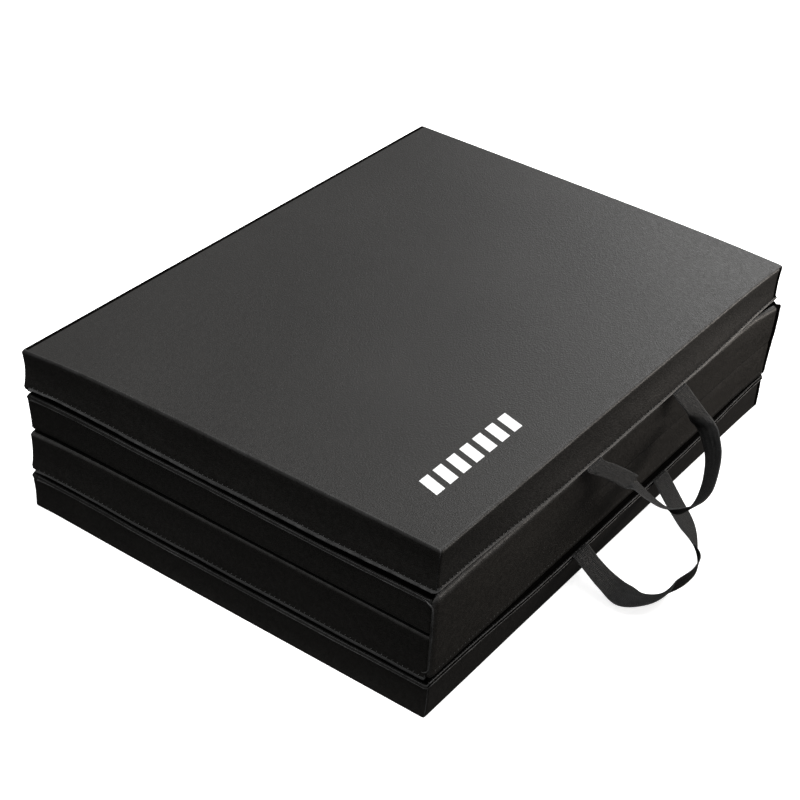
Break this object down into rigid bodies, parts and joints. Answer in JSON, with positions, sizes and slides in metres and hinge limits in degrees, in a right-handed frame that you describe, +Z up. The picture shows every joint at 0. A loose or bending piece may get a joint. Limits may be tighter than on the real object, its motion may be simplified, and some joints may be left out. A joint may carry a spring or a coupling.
{
  "type": "folding gym mat",
  "caption": "Folded floor mat of foam panels in a leatherette cover, hinged in an accordion stack, with webbing carry handles on one side and zips in one end.",
  "frame": {"origin": "centre of the face that the folded stack rests on, midway between the panels' ends and between their front and back", "axes": "+Z up out of the floor, +X along the fold lines, -Y out of the side that carries the handles"},
  "size_m": [0.6057, 0.5428, 0.174],
  "materials": {
    "cover_leather": "semi-matt fine-grained synthetic leather, near black",
    "hinge_leather": "semi-matt synthetic leather, near black",
    "welt": "folded and stitched edge, slightly worn and shiny",
    "foam": "pale closed-cell foam",
    "webbing": "woven polypropylene strap, black",
    "zip_tape": "woven zip tape, black",
    "zip_plastic": "moulded nylon, black",
    "zip_metal": "black enamel on a zinc casting"
  },
  "bodies": {
    "panel_1": {"foam_core_1": "foam", "outer_cover_1": "cover_leather", "inner_face_1": "cover_leather", "edge_welt_1": "welt", "back_hinge_leaf_1": "hinge_leather", "zip_tape_1": "zip_tape", "zip_teeth_1": "zip_plastic", "zip_stops_1": "zip_plastic", "handle_roots_1": "webbing"},
    "zip_slider_1": {"zip_slider_1": "zip_metal"},
    "zip_pull_1": {"zip_pull_1": "zip_metal"},
    "panel_2": {"foam_core_2": "foam", "outer_cover_2": "cover_leather", "inner_face_2": "cover_leather", "edge_welt_2": "welt", "back_hinge_leaf_2": "hinge_leather", "zip_tape_2": "zip_tape", "zip_teeth_2": "zip_plastic", "zip_stops_2": "zip_plastic", "front_facing_2": "hinge_leather"},
    "zip_slider_2": {"zip_slider_2": "zip_metal"},
    "zip_pull_2": {"zip_pull_2": "zip_metal"},
    "panel_3": {"foam_core_3": "foam", "outer_cover_3": "cover_leather", "inner_face_3": "cover_leather", "edge_welt_3": "welt", "back_hinge_leaf_3": "hinge_leather", "zip_tape_3": "zip_tape", "zip_teeth_3": "zip_plastic", "zip_stops_3": "zip_plastic", "front_facing_3": "hinge_leather"},
    "zip_slider_3": {"zip_slider_3": "zip_metal"},
    "zip_pull_3": {"zip_pull_3": "zip_metal"},
    "panel_4": {"foam_core_4": "foam", "outer_cover_4": "cover_leather", "inner_face_4": "cover_leather", "edge_welt_4": "welt", "back_hinge_leaf_4": "hinge_leather", "zip_tape_4": "zip_tape", "zip_teeth_4": "zip_plastic", "zip_stops_4": "zip_plastic", "handle_roots_4": "webbing"},
    "zip_slider_4": {"zip_slider_4": "zip_metal"},
    "zip_pull_4": {"zip_pull_4": "zip_metal"},
    "carry_handle_1": {"carry_handle_1": "webbing"},
    "carry_handle_4": {"carry_handle_4": "webbing"}
  },
  "joints": [
    {"name": "fold_34", "type": "hinge", "parent": "panel_4", "child": "panel_3", "pos_m": [0, 0.227, 0.0435], "axis": [-1, 0, 0], "range_deg": [0, 180]},
    {"name": "fold_23", "type": "hinge", "parent": "panel_3", "child": "panel_2", "pos_m": [0, -0.227, 0.087], "axis": [1, 0, 0], "range_deg": [0, 180]},
    {"name": "fold_12", "type": "hinge", "parent": "panel_2", "child": "panel_1", "pos_m": [0, 0.227, 0.1305], "axis": [-1, 0, 0], "range_deg": [0, 180]},
    {"name": "handle_1_lift", "type": "hinge", "parent": "panel_1", "child": "carry_handle_1", "pos_m": [0, -0.2325, 0.131], "axis": [-1, 0, 0], "range_deg": [0, 45]},
    {"name": "handle_4_lift", "type": "hinge", "parent": "panel_4", "child": "carry_handle_4", "pos_m": [0, -0.2325, 0.0376], "axis": [-1, 0, 0], "range_deg": [0, 18]},
    {"name": "zip_1_slide", "type": "slide", "parent": "panel_1", "child": "zip_slider_1", "axis": [0, -1, 0], "range_m": [0, 0.375]},
    {"name": "zip_1_pull", "type": "hinge", "parent": "zip_slider_1", "child": "zip_pull_1", "pos_m": [0.3027, 0.19, 0.15245], "axis": [0, 0, 1], "range_deg": [0, 170]},
    {"name": "zip_2_slide", "type": "slide", "parent": "panel_2", "child": "zip_slider_2", "axis": [0, -1, 0], "range_m": [0, 0.375]},
    {"name": "zip_2_pull", "type": "hinge", "parent": "zip_slider_2", "child": "zip_pull_2", "pos_m": [0.3027, 0.19, 0.10875], "axis": [0, 0, 1], "range_deg": [0, 170]},
    {"name": "zip_3_slide", "type": "slide", "parent": "panel_3", "child": "zip_slider_3", "axis": [0, -1, 0], "range_m": [0, 0.375]},
    {"name": "zip_3_pull", "type": "hinge", "parent": "zip_slider_3", "child": "zip_pull_3", "pos_m": [0.3027, 0.19, 0.06525], "axis": [0, 0, 1], "range_deg": [0, 170]},
    {"name": "zip_4_slide", "type": "slide", "parent": "panel_4", "child": "zip_slider_4", "axis": [0, -1, 0], "range_m": [0, 0.375]},
    {"name": "zip_4_pull", "type": "hinge", "parent": "zip_slider_4", "child": "zip_pull_4", "pos_m": [0.3027, 0.19, 0.02155], "axis": [0, 0, 1], "range_deg": [0, 170]}
  ],
  "couplings": [
    {"joint": "fold_23", "follows": "fold_34", "ratio": 1},
    {"joint": "fold_12", "follows": "fold_34", "ratio": 1}
  ]
}
